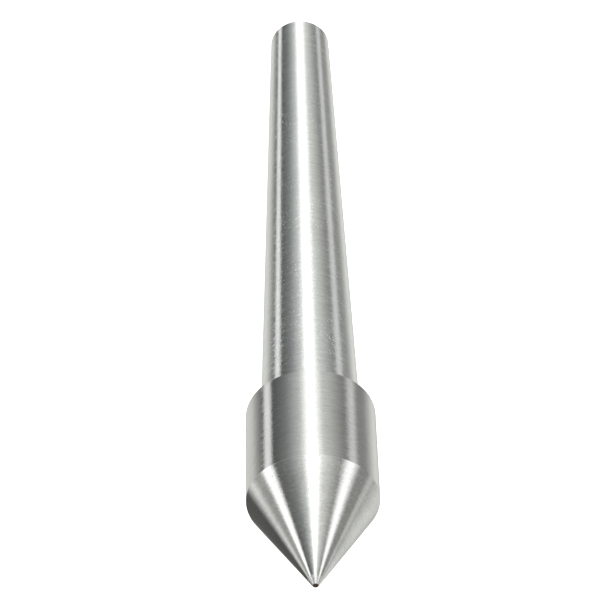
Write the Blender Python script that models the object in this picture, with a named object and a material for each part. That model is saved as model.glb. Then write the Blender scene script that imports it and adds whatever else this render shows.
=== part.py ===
"""A small live center: a Morse taper 0 shank carrying a head with a 60 degree point that turns on
three miniature bearings round a fixed spindle.

Every piece is turned about one line. That line is the world Y axis, the point faces -Y, and the
origin is where the line crosses the gauge plane of the taper. Inside the script, positions along
the line are heights z of the empty "center_line": z is 0 at the gauge plane and grows towards the
point. Radii and heights are in millimetres until a mesh is made.
"""

import math

import bmesh
import bpy
from mathutils import Matrix, Vector

MM = 0.001

# Fits: what seats against a neighbour keeps SEAT_GAP, what turns past one keeps more.
SEAT_GAP = 0.05
RUNNING_GAP = 0.10
HEAD_TO_SHANK_GAP = 0.25

# Shank, with the standard sizes of a Morse taper 0
GAUGE_DIAMETER = 9.045
TAPER_PER_LENGTH = 1 / 19.212
SHANK_AHEAD_OF_GAUGE = 3.0
SHANK_BEHIND_GAUGE = 54.0
SHANK_END_ROUND = 0.3
SHANK_FRONT_CHAMFER = 0.15
CENTER_HOLE_DIAMETER = 1.0
CENTER_HOLE_MOUTH = 2.1
CENTER_HOLE_DEPTH = 2.6
CENTER_HOLE_ANGLE = math.radians(60)

# Head with the point
HEAD_DIAMETER = 12.0
HEAD_LENGTH = 10.6
HEAD_EDGE_CHAMFER = 0.12
POINT_ANGLE = math.radians(60)
POINT_FLAT_DIAMETER = 0.56
BORE_CHAMFER = 0.2
NOSE_POCKET_DIAMETER = 4.0
NOSE_POCKET_CLEARANCE = 0.7

# Spindle
TAIL_DIAMETER = 5.0
TAIL_LENGTH = 16.0
COLLAR_LAND = 0.5
NOSE_CHAMFER = 0.3

# Bearings. A ball is given as its diameter's share of the section, which is the outside radius less
# the bore radius. The rear one is 4 x 9 x 4, with a shield on each side.
REAR_BORE = 4.0
REAR_OUTSIDE = 9.0
REAR_WIDTH = 4.0
REAR_BALL_PER_SECTION = 0.635
REAR_BALL_COUNT = 7
SHIELD_THICKNESS = 0.2
SHIELD_INSET = 0.12
SHIELD_STEP = 0.22

# Thrust bearing, 4 x 9 x 4, in the same bore and on the same journal as the rear one
THRUST_HEIGHT = 4.0
THRUST_BALL_PER_SECTION = 0.635
THRUST_BALL_COUNT = 8
THRUST_WASHER_THICKNESS = 1.45
THRUST_CAGE_THICKNESS = 0.7
SHAFT_WASHER_UNDERSIZE = 0.2

# Front bearing, 3 x 6 x 2.5, open
FRONT_BORE = 3.0
FRONT_OUTSIDE = 6.0
FRONT_WIDTH = 2.5
FRONT_BALL_PER_SECTION = 2 / 3
FRONT_BALL_COUNT = 7

# Shared by the bearings
RACE_CLEARANCE = 0.06
POCKET_CLEARANCE = 0.08
RING_EDGE_CHAMFER = 0.15
PLATE_EDGE_CHAMFER = 0.04
RACE_HALF_ANGLE = math.radians(38)
RACE_STEPS = 4
CAGE_SHARE_OF_GAP = 0.45
CAGE_WIDTH_PER_POCKET = 1.3

# Circlips, seal and spacer
HEAD_CIRCLIP_THICKNESS = 0.8
HEAD_CIRCLIP_GROOVE_DEPTH = 0.25
HEAD_CIRCLIP_WIDTH = 0.65
SPINDLE_CIRCLIP_THICKNESS = 0.4
SPINDLE_CIRCLIP_GROOVE_DEPTH = 0.13
SPINDLE_CIRCLIP_WIDTH = 0.6
CIRCLIP_OPENING = math.radians(36)
CIRCLIP_END_WIDTH_SHARE = 0.75
CIRCLIP_STEPS = 20
LUG_LENGTH = 0.5
LUG_WIDTH = 1.0
LUG_HOLE_DIAMETER = 0.45
LUG_HOLE_PLACE = 0.55
SEAL_THICKNESS = 0.8
SEAL_RECESS = 0.1
SPACER_THICKNESS = 0.4
SPACER_WALL = 0.8

# Facets round a full turn
OUTSIDE_FACETS = 48
RING_FACETS = 32
SMALL_RING_FACETS = 24
POCKET_FACETS = 12
LUG_HOLE_FACETS = 10
END_ROUND_STEPS = 3

# Heights along the center line, each worked out from the piece behind it
SHANK_REAR_Z = -SHANK_BEHIND_GAUGE
SHANK_FRONT_Z = SHANK_AHEAD_OF_GAUGE
HEAD_REAR_Z = SHANK_FRONT_Z + HEAD_TO_SHANK_GAP
HEAD_FRONT_Z = HEAD_REAR_Z + HEAD_LENGTH
SEAL_Z = HEAD_REAR_Z + SEAL_RECESS
HEAD_CIRCLIP_Z = SEAL_Z + SEAL_THICKNESS + SEAT_GAP
REAR_BEARING_Z = HEAD_CIRCLIP_Z + HEAD_CIRCLIP_THICKNESS + SEAT_GAP
SPINDLE_CIRCLIP_Z = REAR_BEARING_Z + REAR_WIDTH + SEAT_GAP
SPACER_Z = SPINDLE_CIRCLIP_Z + SPINDLE_CIRCLIP_THICKNESS + SEAT_GAP
THRUST_BEARING_Z = SPACER_Z + SPACER_THICKNESS + SEAT_GAP
MAIN_BORE_END_Z = THRUST_BEARING_Z + THRUST_HEIGHT + SEAT_GAP
FRONT_BEARING_Z = MAIN_BORE_END_Z + RUNNING_GAP
FRONT_BORE_END_Z = FRONT_BEARING_Z + FRONT_WIDTH + SEAT_GAP
SPINDLE_END_Z = FRONT_BEARING_Z + FRONT_WIDTH + NOSE_CHAMFER

# Radii that pieces share
HEAD_RADIUS = HEAD_DIAMETER / 2
MAIN_BORE_RADIUS = REAR_OUTSIDE / 2
FRONT_BORE_RADIUS = FRONT_OUTSIDE / 2
JOURNAL_RADIUS = REAR_BORE / 2
NOSE_RADIUS = FRONT_BORE / 2
COLLAR_RADIUS = TAIL_DIAMETER / 2 + COLLAR_LAND
REAR_BALL = (MAIN_BORE_RADIUS - JOURNAL_RADIUS) * REAR_BALL_PER_SECTION
THRUST_BALL = (MAIN_BORE_RADIUS - JOURNAL_RADIUS) * THRUST_BALL_PER_SECTION
FRONT_BALL = (FRONT_BORE_RADIUS - NOSE_RADIUS) * FRONT_BALL_PER_SECTION
REAR_PITCH_RADIUS = (REAR_BORE + REAR_OUTSIDE) / 4
THRUST_PITCH_RADIUS = (JOURNAL_RADIUS + MAIN_BORE_RADIUS) / 2
FRONT_PITCH_RADIUS = (FRONT_BORE + FRONT_OUTSIDE) / 4
HEAD_CIRCLIP_SEAT_RADIUS = MAIN_BORE_RADIUS + HEAD_CIRCLIP_GROOVE_DEPTH
SPINDLE_CIRCLIP_SEAT_RADIUS = JOURNAL_RADIUS - SPINDLE_CIRCLIP_GROOVE_DEPTH


def shank_radius(z):
    """The taper's radius at a height."""
    return (GAUGE_DIAMETER + z * TAPER_PER_LENGTH) / 2


def drill_point(radius):
    """The depth of the cone that a 120 degree drill leaves below a hole of this radius."""
    return radius / math.tan(math.radians(60))


def clear_scene():
    for old in list(bpy.data.objects):
        bpy.data.objects.remove(old, do_unlink=True)


def metal(name, colour, roughness, metallic=1.0):
    """A Principled material."""
    made = bpy.data.materials.new(name)
    made.use_nodes = True
    shader = made.node_tree.nodes["Principled BSDF"]
    shader.inputs["Base Color"].default_value = (*colour, 1.0)
    shader.inputs["Roughness"].default_value = roughness
    shader.inputs["Metallic"].default_value = metallic
    return made


def empty(name, parent=None):
    """An empty on the center line."""
    made = bpy.data.objects.new(name, None)
    bpy.context.collection.objects.link(made)
    made.parent = parent
    return made


def add_object(name, bm, material, parent, z=0.0):
    """Turns a bmesh in millimetres into a named object whose origin is on its parent's line, at z."""
    bmesh.ops.scale(bm, vec=(MM, MM, MM), verts=bm.verts)
    bmesh.ops.recalc_face_normals(bm, faces=bm.faces)
    mesh = bpy.data.meshes.new(name)
    bm.to_mesh(mesh)
    bm.free()
    mesh.shade_smooth()
    mesh.set_sharp_from_angle(angle=math.radians(30))
    mesh.materials.append(material)
    made = bpy.data.objects.new(name, mesh)
    bpy.context.collection.objects.link(made)
    made.parent = parent
    made.location = (0, 0, z * MM)
    return made


def turned_bmesh(profile, facets):
    """Spins an outline of (radius, height) points round the line. An outline that starts or ends
    off the axis is closed back to its first point."""
    bm = bmesh.new()
    points = [bm.verts.new((radius, 0, height)) for radius, height in profile]
    edges = [bm.edges.new(pair) for pair in zip(points, points[1:])]
    if profile[0][0] > 0 or profile[-1][0] > 0:
        edges.append(bm.edges.new((points[-1], points[0])))
    bmesh.ops.spin(bm, geom=points + edges, cent=(0, 0, 0), axis=(0, 0, 1), dvec=(0, 0, 0),
                   angle=math.tau, steps=facets, use_merge=True)
    bmesh.ops.remove_doubles(bm, verts=bm.verts, dist=1e-4)
    return bm


def turned(name, profile, facets, material, parent, z=0.0):
    return add_object(name, turned_bmesh(profile, facets), material, parent, z)


def arc(centre_radius, centre_height, radius, start, end, steps):
    """Points of an arc in the (radius, height) plane, from angle start to angle end."""
    angles = [start + (end - start) * i / steps for i in range(steps + 1)]
    return [(centre_radius + radius * math.cos(a), centre_height + radius * math.sin(a)) for a in angles]


def plate_profile(inner, outer, height):
    """A flat ring of rectangular section, its outer edges broken."""
    edge = PLATE_EDGE_CHAMFER
    return [(inner, 0), (outer - edge, 0), (outer, edge),
            (outer, height - edge), (outer - edge, height), (inner, height)]


def cut_with(piece, cutter_bmesh):
    """Takes the cutter's shapes out of the piece."""
    cutter = add_object(piece.name + "_cutter", cutter_bmesh, piece.data.materials[0], piece.parent)
    cutter.location = piece.location
    cutter.hide_render = True
    cutter.display_type = "WIRE"
    cut = piece.modifiers.new("pockets", "BOOLEAN")
    cut.operation = "DIFFERENCE"
    cut.solver = "EXACT"
    cut.object = cutter


def cylinders(radius, length, places, facets):
    """One bmesh with a cylinder along local Z at each matrix in places."""
    bm = bmesh.new()
    for place in places:
        bmesh.ops.create_cone(bm, cap_ends=True, segments=facets, radius1=radius, radius2=radius,
                              depth=length, matrix=place)
    return bm


def build_shank(parent, material):
    """The tapered shank: centre hole in its small end, seat for the spindle's tail in its big end."""
    rear, front = SHANK_REAR_Z, SHANK_FRONT_Z
    tail_seat = TAIL_DIAMETER / 2 + SEAT_GAP
    seat_end = front - TAIL_LENGTH - RUNNING_GAP
    pilot = CENTER_HOLE_DIAMETER / 2
    mouth_depth = (CENTER_HOLE_MOUTH / 2 - pilot) / math.tan(CENTER_HOLE_ANGLE / 2)
    end_radius = shank_radius(rear) - SHANK_END_ROUND
    profile = [
        (0, rear + CENTER_HOLE_DEPTH + drill_point(pilot)),
        (pilot, rear + CENTER_HOLE_DEPTH),
        (pilot, rear + mouth_depth),
        (CENTER_HOLE_MOUTH / 2, rear),
        *arc(end_radius, rear + SHANK_END_ROUND, SHANK_END_ROUND, -math.pi / 2, 0, END_ROUND_STEPS),
        (shank_radius(0), 0),
        (shank_radius(front - SHANK_FRONT_CHAMFER), front - SHANK_FRONT_CHAMFER),
        (shank_radius(front) - SHANK_FRONT_CHAMFER, front),
        (tail_seat + BORE_CHAMFER, front),
        (tail_seat, front - BORE_CHAMFER),
        (tail_seat, seat_end),
        (0, seat_end - drill_point(tail_seat)),
    ]
    turned("taper_shank", profile, OUTSIDE_FACETS, material, parent)


def build_spindle(parent, material):
    """The fixed pin that the head turns on: tail in the shank, collar, journal, then the nose."""
    groove = SPINDLE_CIRCLIP_SEAT_RADIUS - SEAT_GAP
    groove_rear = SPINDLE_CIRCLIP_Z - SEAT_GAP / 2
    groove_front = SPINDLE_CIRCLIP_Z + SPINDLE_CIRCLIP_THICKNESS + SEAT_GAP / 2
    tail_end = SHANK_FRONT_Z - TAIL_LENGTH
    collar_rear = SHANK_FRONT_Z + SEAT_GAP
    collar_front = REAR_BEARING_Z - SEAT_GAP
    tail_radius = TAIL_DIAMETER / 2
    journal = JOURNAL_RADIUS - SEAT_GAP
    nose = NOSE_RADIUS - SEAT_GAP
    profile = [
        (0, tail_end),
        (tail_radius - NOSE_CHAMFER, tail_end),
        (tail_radius, tail_end + NOSE_CHAMFER),
        (tail_radius, collar_rear),
        (COLLAR_RADIUS, collar_rear),
        (COLLAR_RADIUS, collar_front),
        (journal, collar_front),
        (journal, groove_rear),
        (groove, groove_rear),
        (groove, groove_front),
        (journal, groove_front),
        (journal, MAIN_BORE_END_Z),
        (nose, MAIN_BORE_END_Z),
        (nose, SPINDLE_END_Z - NOSE_CHAMFER),
        (nose - NOSE_CHAMFER, SPINDLE_END_Z),
        (0, SPINDLE_END_Z),
    ]
    turned("spindle", profile, RING_FACETS, material, parent)


def build_head(parent, material):
    """The turning head. Its outline runs from the end of the pocket back through the bores, round the
    rear face, and forward over the cylinder and the cone to the tip."""
    flat = POINT_FLAT_DIAMETER / 2
    tip_z = HEAD_FRONT_Z + (HEAD_RADIUS - flat) / math.tan(POINT_ANGLE / 2)
    bore = MAIN_BORE_RADIUS + SEAT_GAP
    groove = HEAD_CIRCLIP_SEAT_RADIUS + SEAT_GAP
    groove_rear = HEAD_CIRCLIP_Z - SEAT_GAP / 2
    groove_front = HEAD_CIRCLIP_Z + HEAD_CIRCLIP_THICKNESS + SEAT_GAP / 2
    front_bore = FRONT_BORE_RADIUS + SEAT_GAP
    pocket = NOSE_POCKET_DIAMETER / 2
    pocket_end = SPINDLE_END_Z + NOSE_POCKET_CLEARANCE
    profile = [
        (0, pocket_end + drill_point(pocket)),
        (pocket, pocket_end),
        (pocket, FRONT_BORE_END_Z),
        (front_bore, FRONT_BORE_END_Z),
        (front_bore, MAIN_BORE_END_Z),
        (bore, MAIN_BORE_END_Z),
        (bore, groove_front),
        (groove, groove_front),
        (groove, groove_rear),
        (bore, groove_rear),
        (bore, HEAD_REAR_Z + BORE_CHAMFER),
        (bore + BORE_CHAMFER, HEAD_REAR_Z),
        (HEAD_RADIUS - HEAD_EDGE_CHAMFER, HEAD_REAR_Z),
        (HEAD_RADIUS, HEAD_REAR_Z + HEAD_EDGE_CHAMFER),
        (HEAD_RADIUS, HEAD_FRONT_Z),
        (flat, tip_z),
        (0, tip_z),
    ]
    turned("point_head", profile, OUTSIDE_FACETS, material, parent)


def race_arc(pitch_radius, width, ball, outwards):
    """The groove that the balls run in, as points from one side of the ring to the other."""
    groove = ball / 2 + RACE_CLEARANCE
    if outwards:
        return arc(pitch_radius, width / 2, groove, -RACE_HALF_ANGLE, RACE_HALF_ANGLE, RACE_STEPS)
    rear, front = math.pi + RACE_HALF_ANGLE, math.pi - RACE_HALF_ANGLE
    return arc(pitch_radius, width / 2, groove, rear, front, RACE_STEPS)


def build_ball_row(prefix, count, ball, pitch_radius, z, parent, material):
    """Evenly spaced balls, each its own piece, with centres at height z."""
    for i in range(count):
        turn = Matrix.Rotation(math.tau * i / count, 4, "Z")
        bm = bmesh.new()
        bmesh.ops.create_icosphere(bm, subdivisions=2, radius=ball / 2)
        made = add_object(f"{prefix}_ball_{i + 1}", bm, material, parent)
        made.location = turn @ Vector((pitch_radius * MM, 0, z * MM))


def build_radial_rings(prefix, bore, outside, width, ball, facets, parents, materials, shield_step=0.0):
    """Inner and outer ring of a ball bearing, its rear face at the height of its parents' z."""
    pitch_radius = (bore + outside) / 4
    reach = (ball / 2 + RACE_CLEARANCE) * math.cos(RACE_HALF_ANGLE)
    inner_shoulder = pitch_radius - reach
    outer_shoulder = pitch_radius + reach
    edge = RING_EDGE_CHAMFER
    inner_profile = [(bore / 2, 0), (inner_shoulder, 0),
                     *race_arc(pitch_radius, width, ball, False),
                     (inner_shoulder, width), (bore / 2, width)]
    step_depth = SHIELD_INSET + SHIELD_THICKNESS + SEAT_GAP
    rear_side = [(outer_shoulder, 0)]
    front_side = [(outer_shoulder, width)]
    if shield_step:
        step = outer_shoulder + shield_step
        rear_side = [(step, 0), (step, step_depth), (outer_shoulder, step_depth)]
        front_side = [(outer_shoulder, width - step_depth), (step, width - step_depth), (step, width)]
    outer_profile = [*rear_side, *race_arc(pitch_radius, width, ball, True), *front_side,
                     (outside / 2 - edge, width), (outside / 2, width - edge),
                     (outside / 2, edge), (outside / 2 - edge, 0)]
    z, inner_parent, outer_parent = parents
    turned(prefix + "_inner_ring", inner_profile, facets, materials["ring"], inner_parent, z)
    turned(prefix + "_outer_ring", outer_profile, facets, materials["ring"], outer_parent, z)
    return inner_shoulder, outer_shoulder


def build_radial_cage(name, count, ball, pitch_radius, width, shoulders, facets, parent, material, z):
    """A band between the rings with a round pocket for each ball."""
    inner_shoulder, outer_shoulder = shoulders
    half_thickness = (outer_shoulder - inner_shoulder) * CAGE_SHARE_OF_GAP / 2
    pocket = ball / 2 + POCKET_CLEARANCE
    room = width / 2 - SHIELD_INSET - SHIELD_THICKNESS - RUNNING_GAP
    half_width = min(pocket * CAGE_WIDTH_PER_POCKET, room)
    profile = plate_profile(pitch_radius - half_thickness, pitch_radius + half_thickness, 2 * half_width)
    cage = turned(name, profile, facets, material, parent, z + width / 2 - half_width)
    places = [Matrix.Rotation(math.tau * i / count, 4, "Z")
              @ Matrix.Translation((pitch_radius, 0, half_width))
              @ Matrix.Rotation(math.pi / 2, 4, "Y") for i in range(count)]
    cut_with(cage, cylinders(pocket, 4 * half_thickness, places, POCKET_FACETS))


def build_rear_bearing(lines, materials):
    """The shielded bearing behind the thrust bearing."""
    z = REAR_BEARING_Z
    shoulders = build_radial_rings("rear_bearing", REAR_BORE, REAR_OUTSIDE, REAR_WIDTH, REAR_BALL,
                                   RING_FACETS, (z, lines["shank"], lines["head"]), materials, SHIELD_STEP)
    build_radial_cage("rear_bearing_cage", REAR_BALL_COUNT, REAR_BALL, REAR_PITCH_RADIUS, REAR_WIDTH,
                      shoulders, RING_FACETS, lines["rear_cage"], materials["cage"], z)
    build_ball_row("rear_bearing", REAR_BALL_COUNT, REAR_BALL, REAR_PITCH_RADIUS, z + REAR_WIDTH / 2,
                   lines["rear_cage"], materials["ball"])
    inner_shoulder, outer_shoulder = shoulders
    shield = plate_profile(inner_shoulder + RUNNING_GAP, outer_shoulder + SHIELD_STEP - SEAT_GAP,
                           SHIELD_THICKNESS)
    turned("rear_bearing_shield_rear", shield, RING_FACETS, materials["shield"], lines["head"],
           z + SHIELD_INSET)
    turned("rear_bearing_shield_front", shield, RING_FACETS, materials["shield"], lines["head"],
           z + REAR_WIDTH - SHIELD_INSET - SHIELD_THICKNESS)


def build_front_bearing(lines, materials):
    """The small open bearing that guides the spindle's nose inside the cone."""
    z = FRONT_BEARING_Z
    shoulders = build_radial_rings("front_bearing", FRONT_BORE, FRONT_OUTSIDE, FRONT_WIDTH, FRONT_BALL,
                                   SMALL_RING_FACETS, (z, lines["shank"], lines["head"]), materials)
    build_radial_cage("front_bearing_cage", FRONT_BALL_COUNT, FRONT_BALL, FRONT_PITCH_RADIUS, FRONT_WIDTH,
                      shoulders, SMALL_RING_FACETS, lines["front_cage"], materials["cage"], z)
    build_ball_row("front_bearing", FRONT_BALL_COUNT, FRONT_BALL, FRONT_PITCH_RADIUS, z + FRONT_WIDTH / 2,
                   lines["front_cage"], materials["ball"])


def thrust_washer_profile(inner, outer, ball, groove_up):
    """A washer with a shallow ball groove in its front face, or in its rear one."""
    thick = THRUST_WASHER_THICKNESS
    groove = ball / 2 + RACE_CLEARANCE
    centre = THRUST_HEIGHT / 2
    half_angle = math.acos((centre - thick) / groove)
    bottom = -math.pi / 2
    groove_points = arc(THRUST_PITCH_RADIUS, centre, groove, bottom + half_angle, bottom - half_angle,
                        RACE_STEPS)
    edge = RING_EDGE_CHAMFER
    profile = [(inner, 0), (outer - edge, 0), (outer, edge), (outer, thick), *groove_points, (inner, thick)]
    if groove_up:
        return profile
    return [(radius, THRUST_HEIGHT - height) for radius, height in profile]


def build_thrust_bearing(lines, materials):
    """Shaft washer, housing washer, and between them the balls in a flat cage. It sits on the same
    journal and in the same bore as the rear bearing."""
    z = THRUST_BEARING_Z
    middle = THRUST_HEIGHT / 2
    small_outer = MAIN_BORE_RADIUS - SHAFT_WASHER_UNDERSIZE
    shaft_washer = thrust_washer_profile(JOURNAL_RADIUS, small_outer, THRUST_BALL, True)
    housing_washer = thrust_washer_profile(JOURNAL_RADIUS + RUNNING_GAP, MAIN_BORE_RADIUS, THRUST_BALL, False)
    turned("thrust_shaft_washer", shaft_washer, RING_FACETS, materials["ring"], lines["shank"], z)
    turned("thrust_housing_washer", housing_washer, RING_FACETS, materials["ring"], lines["head"], z)
    cage_profile = plate_profile(JOURNAL_RADIUS + 2 * RUNNING_GAP, small_outer, THRUST_CAGE_THICKNESS)
    cage = turned("thrust_cage", cage_profile, RING_FACETS, materials["cage"], lines["thrust_cage"],
                  z + middle - THRUST_CAGE_THICKNESS / 2)
    places = [Matrix.Rotation(math.tau * i / THRUST_BALL_COUNT, 4, "Z")
              @ Matrix.Translation((THRUST_PITCH_RADIUS, 0, THRUST_CAGE_THICKNESS / 2))
              for i in range(THRUST_BALL_COUNT)]
    pocket = THRUST_BALL / 2 + POCKET_CLEARANCE
    cut_with(cage, cylinders(pocket, 3 * THRUST_CAGE_THICKNESS, places, POCKET_FACETS))
    build_ball_row("thrust", THRUST_BALL_COUNT, THRUST_BALL, THRUST_PITCH_RADIUS, z + middle,
                   lines["thrust_cage"], materials["ball"])


def circlip_outline(seat_radius, width, lug_direction):
    """The outline of a C-shaped clip, in (radius, angle) points. Its seat side is a plain arc. Its free
    side is widest opposite the opening and steps out into a lug at each end: lug_direction is 1 where
    the free side lies outwards and -1 where it lies inwards."""
    start = CIRCLIP_OPENING / 2
    body_start = start + LUG_WIDTH / seat_radius
    seat_side = []
    free_side = []
    for i in range(CIRCLIP_STEPS + 1):
        share = i / CIRCLIP_STEPS
        seat_side.append((seat_radius, start + (math.tau - 2 * start) * share))
        angle = body_start + (math.tau - 2 * body_start) * share
        swell = (1 - math.cos(angle)) / 2
        body_width = width * (CIRCLIP_END_WIDTH_SHARE + (1 - CIRCLIP_END_WIDTH_SHARE) * swell)
        free_side.append((seat_radius + lug_direction * body_width, angle))
    lug_end = seat_radius + lug_direction * (width + LUG_LENGTH)
    first_lug = [(lug_end, start), (lug_end, body_start)]
    last_lug = [(lug_end, math.tau - body_start), (lug_end, math.tau - start)]
    return seat_side + (first_lug + free_side + last_lug)[::-1]


def build_circlip(name, seat_radius, width, thickness, lug_direction, material, parent, z):
    """A clip cut from flat spring steel, with a plier hole through each lug."""
    bm = bmesh.new()
    corners = [bm.verts.new((radius * math.cos(angle), radius * math.sin(angle), 0))
               for radius, angle in circlip_outline(seat_radius, width, lug_direction)]
    face = bm.faces.new(corners)
    raised = bmesh.ops.extrude_face_region(bm, geom=[face])["geom"]
    moved = [item for item in raised if isinstance(item, bmesh.types.BMVert)]
    bmesh.ops.translate(bm, verts=moved, vec=(0, 0, thickness))
    clip = add_object(name, bm, material, parent, z)
    hole_place = seat_radius + lug_direction * (width + LUG_LENGTH) * LUG_HOLE_PLACE
    lug_middle = (CIRCLIP_OPENING + LUG_WIDTH / seat_radius) / 2
    places = [Matrix.Rotation(angle, 4, "Z") @ Matrix.Translation((hole_place, 0, thickness / 2))
              for angle in (lug_middle, -lug_middle)]
    cut_with(clip, cylinders(LUG_HOLE_DIAMETER / 2, 3 * thickness, places, LUG_HOLE_FACETS))


def build_closure(lines, materials):
    """What keeps the stack together and dirt out: seal, both circlips and the spacer."""
    seal = plate_profile(COLLAR_RADIUS + SEAT_GAP, MAIN_BORE_RADIUS, SEAL_THICKNESS)
    turned("felt_dust_seal", seal, RING_FACETS, materials["felt"], lines["head"], SEAL_Z)
    build_circlip("head_circlip", HEAD_CIRCLIP_SEAT_RADIUS, HEAD_CIRCLIP_WIDTH, HEAD_CIRCLIP_THICKNESS,
                  -1, materials["clip"], lines["head"], HEAD_CIRCLIP_Z)
    build_circlip("spindle_circlip", SPINDLE_CIRCLIP_SEAT_RADIUS, SPINDLE_CIRCLIP_WIDTH,
                  SPINDLE_CIRCLIP_THICKNESS, 1, materials["clip"], lines["shank"], SPINDLE_CIRCLIP_Z)
    spacer = plate_profile(JOURNAL_RADIUS, JOURNAL_RADIUS + SPACER_WALL, SPACER_THICKNESS)
    turned("thrust_spacer", spacer, RING_FACETS, materials["ring"], lines["shank"], SPACER_Z)


def main():
    clear_scene()
    materials = {
        "shank": metal("ground_shank_steel", (0.60, 0.61, 0.60), 0.28),
        "point": metal("hardened_point_steel", (0.62, 0.62, 0.61), 0.24),
        "spindle": metal("spindle_steel", (0.55, 0.55, 0.56), 0.22),
        "ring": metal("bearing_steel", (0.66, 0.66, 0.67), 0.15),
        "ball": metal("ball_steel", (0.75, 0.75, 0.76), 0.06),
        "cage": metal("cage_brass", (0.78, 0.57, 0.30), 0.35),
        "shield": metal("shield_steel", (0.62, 0.63, 0.64), 0.30),
        "clip": metal("black_spring_steel", (0.07, 0.07, 0.075), 0.45),
        "felt": metal("grey_felt", (0.30, 0.29, 0.27), 0.95, 0.0),
    }
    center_line = empty("center_line")
    center_line.rotation_euler = (math.pi / 2, 0, 0)
    names = ("shank", "head", "rear_cage", "thrust_cage", "front_cage")
    lines = {name: empty(name + "_line", center_line) for name in names}
    build_shank(lines["shank"], materials["shank"])
    build_spindle(lines["shank"], materials["spindle"])
    build_head(lines["head"], materials["point"])
    build_rear_bearing(lines, materials)
    build_thrust_bearing(lines, materials)
    build_front_bearing(lines, materials)
    build_closure(lines, materials)


main()
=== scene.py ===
import math

import bmesh
import bpy
from mathutils import Matrix, Vector, noise


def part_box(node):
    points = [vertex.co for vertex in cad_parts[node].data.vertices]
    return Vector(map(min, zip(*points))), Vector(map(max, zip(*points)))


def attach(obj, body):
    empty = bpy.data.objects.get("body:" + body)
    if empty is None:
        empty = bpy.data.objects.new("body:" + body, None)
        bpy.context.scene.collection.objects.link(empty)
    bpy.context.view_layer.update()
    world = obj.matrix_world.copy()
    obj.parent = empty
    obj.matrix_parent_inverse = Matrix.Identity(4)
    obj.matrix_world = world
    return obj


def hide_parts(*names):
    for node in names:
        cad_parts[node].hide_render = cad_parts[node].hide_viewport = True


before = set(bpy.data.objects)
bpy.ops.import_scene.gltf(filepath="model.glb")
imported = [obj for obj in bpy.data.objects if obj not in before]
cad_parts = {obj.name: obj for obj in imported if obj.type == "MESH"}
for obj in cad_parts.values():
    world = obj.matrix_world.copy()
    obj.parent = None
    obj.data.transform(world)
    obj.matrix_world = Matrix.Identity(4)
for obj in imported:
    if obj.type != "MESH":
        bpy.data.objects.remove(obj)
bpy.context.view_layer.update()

mm = 0.001
scene = bpy.context.scene
scene.view_settings.view_transform = "Standard"
scene.view_settings.look = "None"


# the center lies with its point towards the camera, seen from above
cameraSet = {
    "lens": 151.05,
    "sensor": 36.0,
    "clip": (0.005, 20.0),                  # m
    "place": (-3.884, -167.091, 164.966),   # mm, from the gauge line of the taper
    "ahead": (0.01303, 0.73676, -0.67603),
    "up": (0.01196, 0.67592, 0.73687),
}


def makeCamera(values):
    lens = bpy.data.cameras.new("studioCamera")
    lens.lens = values["lens"]
    lens.sensor_width = values["sensor"]
    lens.clip_start, lens.clip_end = values["clip"]
    camera = bpy.data.objects.new("studioCamera", lens)
    scene.collection.objects.link(camera)
    ahead = Vector(values["ahead"]).normalized()
    right = ahead.cross(Vector(values["up"])).normalized()
    up = right.cross(ahead)
    turn = Matrix((right, up, -ahead)).transposed().to_4x4()
    camera.matrix_world = Matrix.Translation(Vector(values["place"]) * mm) @ turn
    scene.camera = camera


floorSet = {
    "size": 3.0,               # m
    "slope": 2.88,             # degrees, the center rests on its head's rear edge and its small end
    "contact": (-3.25, -6.0),  # mm, y and z of the head's rear edge
    "gap": 0.02,               # mm left under the work
    "glow": 0.93,
    "colour": (0.93, 0.93, 0.92),
    "roughness": 0.9,
}


def makeFloor(values):
    half = values["size"] / 2
    rise = math.tan(math.radians(values["slope"]))
    contactY, contactZ = (v * mm for v in values["contact"])
    corners = [(x, y, contactZ + (y - contactY) * rise - values["gap"] * mm)
               for x, y in ((-half, -half), (half, -half), (half, half), (-half, half))]
    mesh = bpy.data.meshes.new("floor")
    mesh.from_pydata(corners, [], [(0, 1, 2, 3)])
    floor = bpy.data.objects.new("floor", mesh)
    scene.collection.objects.link(floor)
    material = bpy.data.materials.new("palePaper")
    material.use_nodes = True
    shader = material.node_tree.nodes["Principled BSDF"]
    shader.inputs["Base Color"].default_value = (*values["colour"], 1)
    shader.inputs["Roughness"].default_value = values["roughness"]
    shader.inputs["Emission Color"].default_value = (*values["colour"], 1)
    shader.inputs["Emission Strength"].default_value = values["glow"]
    mesh.materials.append(material)
    floor.visible_glossy = False


def calc(tree, kind, a, b=None):
    node = tree.nodes.new("ShaderNodeMath")
    node.operation = kind
    for socket, value in zip(node.inputs, (a, b)):
        if isinstance(value, (int, float)):
            socket.default_value = value
        elif value is not None:
            tree.links.new(value, socket)
    return node.outputs[0]


def spread(tree, value, low, high, fromLow=0.0, fromHigh=1.0, soft=False):
    node = tree.nodes.new("ShaderNodeMapRange")
    if soft:
        node.interpolation_type = "SMOOTHSTEP"
    tree.links.new(value, node.inputs["Value"])
    for name, number in (("From Min", fromLow), ("From Max", fromHigh), ("To Min", low), ("To Max", high)):
        node.inputs[name].default_value = number
    return node.outputs[0]


def mixColour(tree, amount, first, second, way="MIX"):
    node = tree.nodes.new("ShaderNodeMix")
    node.data_type = "RGBA"
    node.blend_type = way
    for socket, value in ((node.inputs["Factor"], amount), (node.inputs[6], first), (node.inputs[7], second)):
        if isinstance(value, tuple):
            socket.default_value = (*value, 1)
        elif isinstance(value, (int, float)):
            socket.default_value = value
        else:
            tree.links.new(value, socket)
    return node.outputs[2]


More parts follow.
